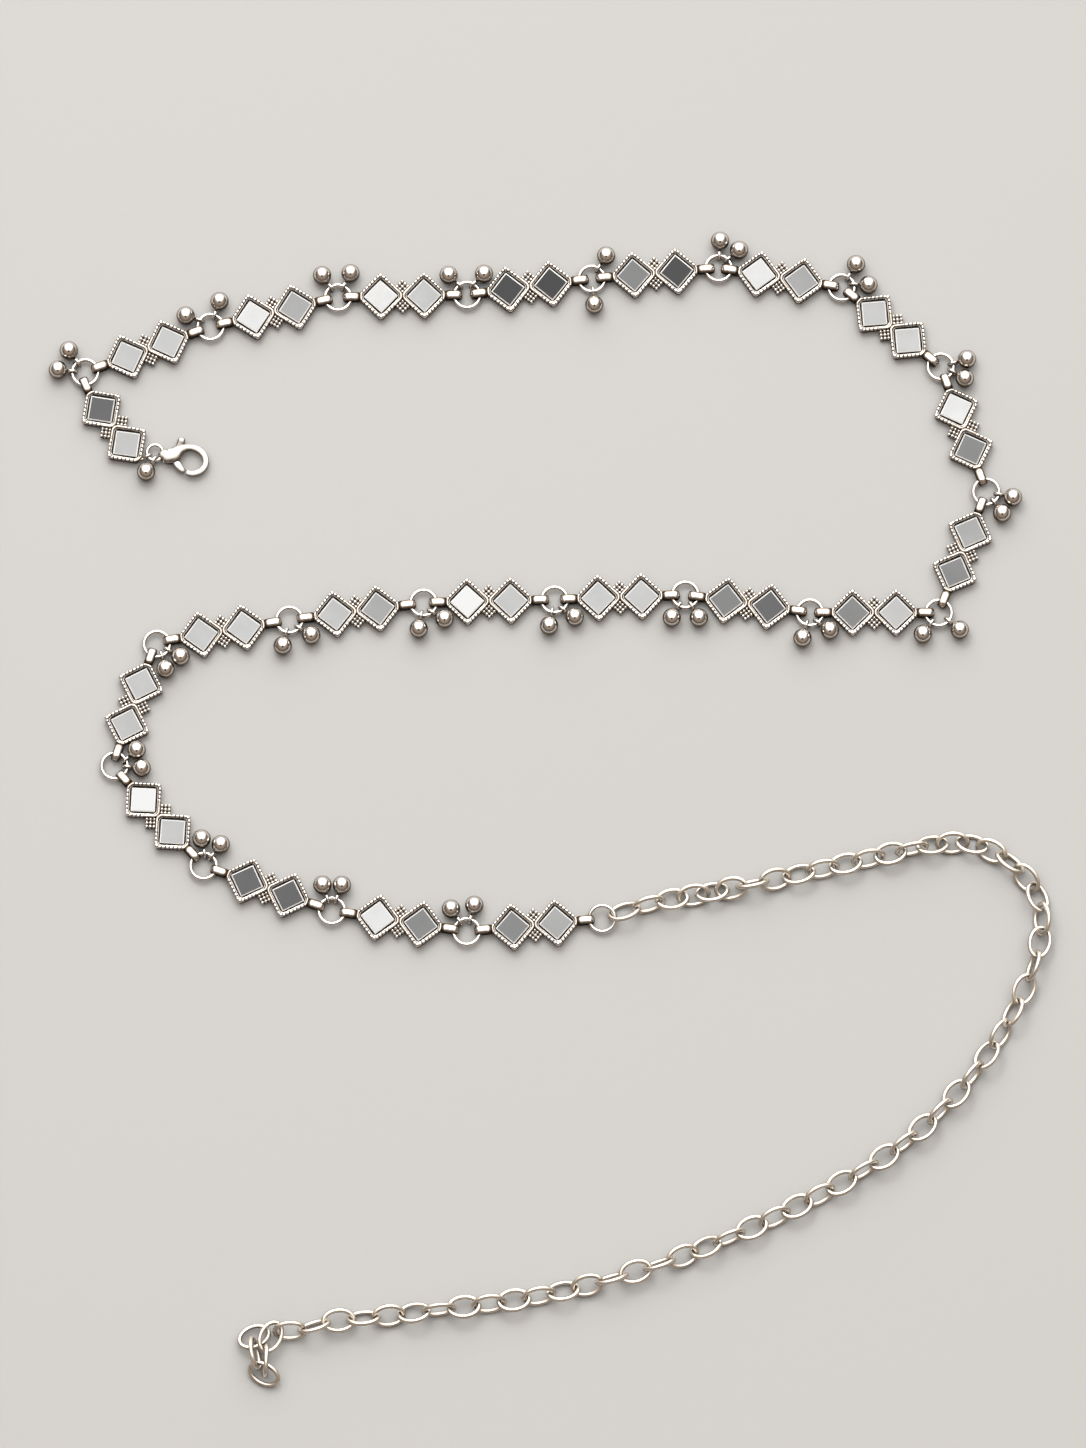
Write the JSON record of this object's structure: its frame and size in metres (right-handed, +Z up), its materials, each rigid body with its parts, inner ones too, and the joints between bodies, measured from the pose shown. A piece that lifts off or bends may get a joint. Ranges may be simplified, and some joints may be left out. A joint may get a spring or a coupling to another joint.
{
  "type": "waist chain",
  "caption": "Waist chain of cast plaques with square mirrors and beaded edges, rings with ball bells, a lobster clasp and an oval-link extension, lying in curves.",
  "frame": {"origin": "middle of the laid-out jewel's box, on the surface it lies on", "axes": "+Z up from the surface, +Y towards the top of the layout, +X to its right"},
  "size_m": [0.2488, 0.2896, 0.0061],
  "materials": {
    "cast_silver": "antique cast silver, dark in its recesses",
    "polished_silver": "polished, slightly worn",
    "link_silver": "warm satin",
    "satin_silver": "satin",
    "mirror_glass": "silvered glass with a bevelled edge"
  },
  "bodies": {
    "jewel": {"plaque_01": "cast_silver", "plaque_02": "cast_silver", "plaque_03": "cast_silver", "plaque_04": "cast_silver", "plaque_05": "cast_silver", "plaque_06": "cast_silver", "plaque_07": "cast_silver", "plaque_08": "cast_silver", "plaque_09": "cast_silver", "plaque_10": "cast_silver", "plaque_11": "cast_silver", "plaque_12": "cast_silver", "plaque_13": "cast_silver", "plaque_14": "cast_silver", "plaque_15": "cast_silver", "plaque_16": "cast_silver", "plaque_17": "cast_silver", "plaque_18": "cast_silver", "plaque_19": "cast_silver", "plaque_20": "cast_silver", "plaque_21": "cast_silver", "ring_01": "polished_silver", "ring_02": "polished_silver", "ring_03": "polished_silver", "ring_04": "polished_silver", "ring_05": "polished_silver", "ring_06": "polished_silver", "ring_07": "polished_silver", "ring_08": "polished_silver", "ring_09": "polished_silver", "ring_10": "polished_silver", "ring_11": "polished_silver", "ring_12": "polished_silver", "ring_13": "polished_silver", "ring_14": "polished_silver", "ring_15": "polished_silver", "ring_16": "polished_silver", "ring_17": "polished_silver", "ring_18": "polished_silver", "ring_19": "polished_silver", "ring_20": "polished_silver", "mirrors_upper": "mirror_glass", "mirrors_lower": "mirror_glass", "bells_upper": "polished_silver", "bells_lower": "polished_silver", "clasp_body": "satin_silver", "clasp_ring": "polished_silver", "chain_ring": "polished_silver", "chain_first": "link_silver", "chain_second": "link_silver", "chain_third": "link_silver", "chain_end": "link_silver"},
    "lever": {"clasp_lever": "satin_silver"}
  },
  "joints": [
    {"name": "clasp_lever_hinge", "type": "hinge", "parent": "jewel", "child": "lever", "pos_m": [-0.09342, 0.08822, 0.00145], "axis": [0, 0, 1], "range_deg": [0, 25], "stiffness_Nm_per_rad": 0.01, "springref_deg": -22.92}
  ]
}
